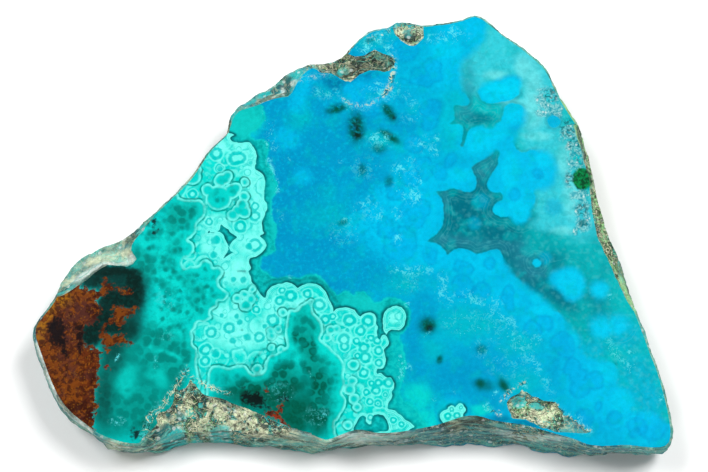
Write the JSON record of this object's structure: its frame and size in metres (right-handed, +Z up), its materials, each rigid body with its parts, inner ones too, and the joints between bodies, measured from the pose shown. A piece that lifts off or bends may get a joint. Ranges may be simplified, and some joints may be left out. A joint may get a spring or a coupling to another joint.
{
  "type": "chrysocolla slab",
  "caption": "Irregular flat slab of blue-green chrysocolla with ringed malachite, polished on top, rough round its edge and sawn flat underneath, that lies on a surface.",
  "frame": {"origin": "middle of the bounding box at the sawn back, where the slab rests", "axes": "+X along the slab's length, from its narrow left end to its long right edge; +Y from its straight near edge to its far point; +Z up, out of the polished face"},
  "size_m": [0.1148, 0.0824, 0.011],
  "materials": {
    "stone": "polished chrysocolla and malachite on the upper face, rough brown and green rock round the side, matt saw cut underneath"
  },
  "bodies": {
    "root": {"slab": "stone"}
  },
  "joints": []
}
